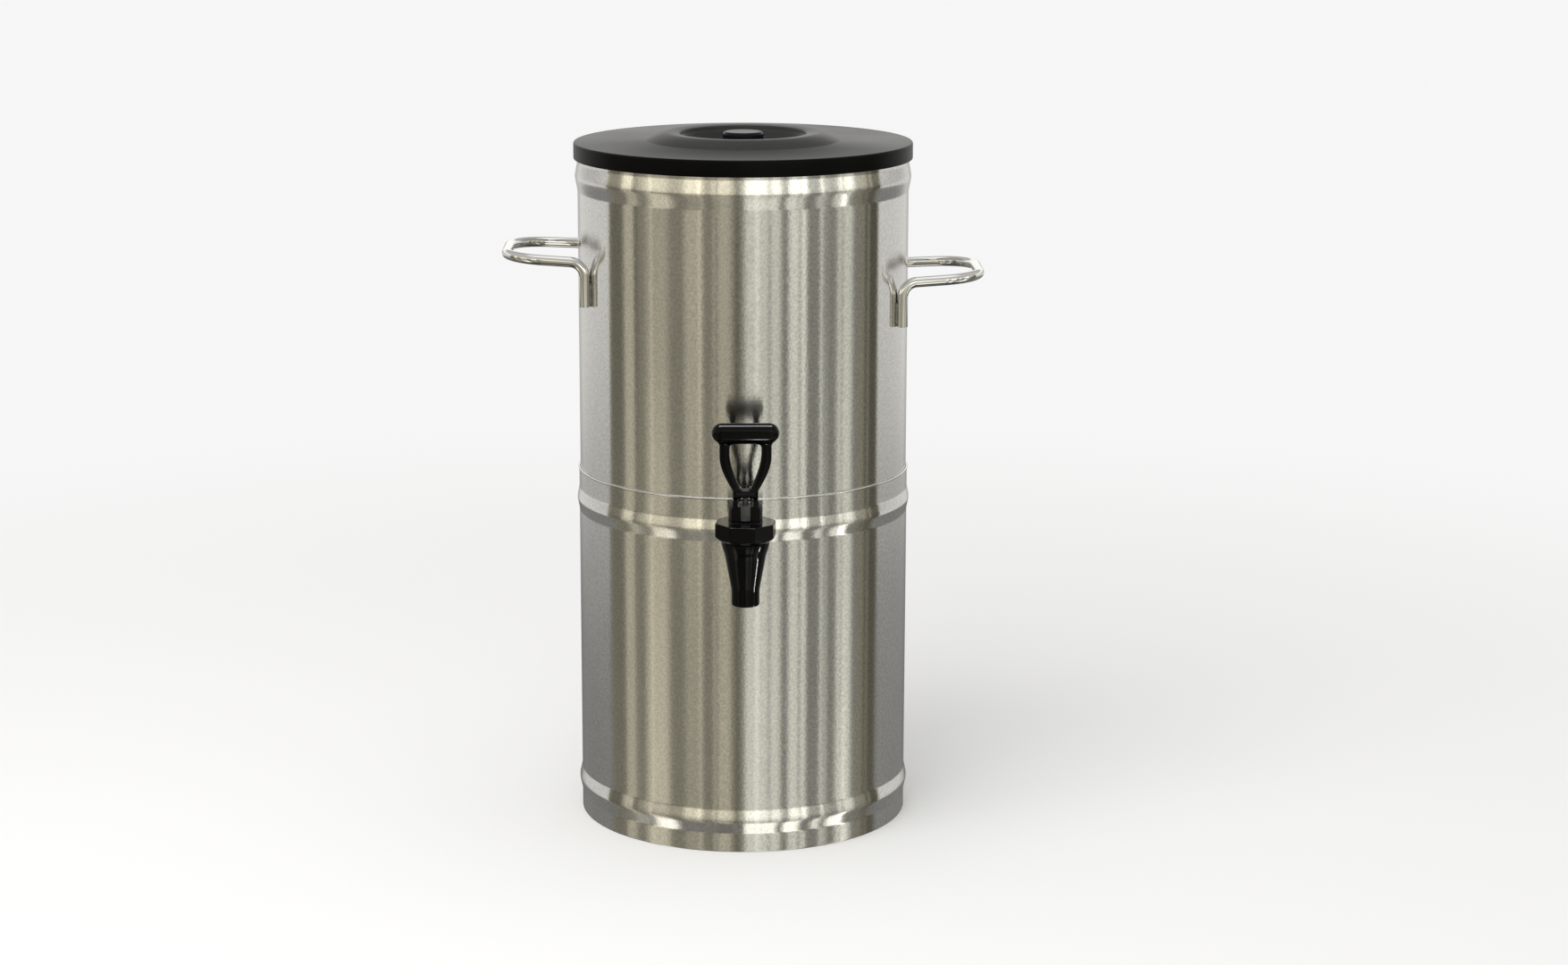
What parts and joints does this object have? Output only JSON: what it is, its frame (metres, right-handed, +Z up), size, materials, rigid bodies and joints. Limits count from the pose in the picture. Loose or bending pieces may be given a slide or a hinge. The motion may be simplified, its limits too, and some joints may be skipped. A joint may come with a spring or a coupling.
{
  "type": "iced tea dispenser",
  "caption": "Cylindrical steel drink dispenser: tank telescoped into a base, lift-off lid with recessed knob, rod handles and a self-closing lever faucet.",
  "frame": {"origin": "on the tank axis, in the plane of the base's lower edge, which stands on the table", "axes": "+Z up along the tank axis, -Y towards the faucet, +X to the right seen from the faucet's side"},
  "size_m": [0.367, 0.3222, 0.5315],
  "materials": {
    "satin_steel": "satin stainless sheet with a fine grain",
    "inner_steel": "mill-finish stainless sheet",
    "polished_rod": "polished stainless rod",
    "weld_steel": "brushed fillet weld",
    "lid_plastic": "fine-textured matte black",
    "knob_plastic": "smooth blue-black",
    "fastener_steel": "plain stainless",
    "faucet_plastic": "glossy moulded black",
    "gasket_rubber": "matte black rubber",
    "nut_plastic": "moulded dark grey",
    "stem_plastic": "moulded mid grey",
    "cup_rubber": "translucent silicone, shown plain"
  },
  "bodies": {
    "root": {"base_shell": "satin_steel", "seat_ring": "inner_steel", "tank_shell": "satin_steel", "tank_floor": "inner_steel", "left_handle": "polished_rod", "right_handle": "polished_rod", "handle_welds": "weld_steel", "faucet_body": "faucet_plastic", "saddle_gasket": "gasket_rubber", "inner_gasket": "gasket_rubber", "shank_washer": "fastener_steel", "shank_nut": "nut_plastic", "bonnet": "faucet_plastic", "return_spring": "fastener_steel"},
    "lid": {"lid": "lid_plastic", "lid_knob": "knob_plastic", "knob_washer": "fastener_steel", "knob_screw": "fastener_steel"},
    "stem": {"valve_stem": "stem_plastic", "seat_cup": "cup_rubber"},
    "lever": {"lever": "faucet_plastic", "lever_pin": "fastener_steel"}
  },
  "joints": [
    {"name": "lid_lift", "type": "slide", "parent": "root", "child": "lid", "axis": [0, 0, 1], "range_m": [0, 0.08]},
    {"name": "stem_lift", "type": "slide", "parent": "root", "child": "stem", "axis": [0, 0, 1], "range_m": [0, 0.0035], "deforming": ["return_spring"]},
    {"name": "lever_tilt", "type": "hinge", "parent": "stem", "child": "lever", "pos_m": [0, -0.171, 0.2887], "axis": [1, 0, 0], "range_deg": [0, 50], "stiffness_Nm_per_rad": 0.2, "springref_deg": -5.73}
  ],
  "couplings": [
    {"joint": "stem_lift", "follows": "lever_tilt", "m_per_rad": 0.004}
  ]
}
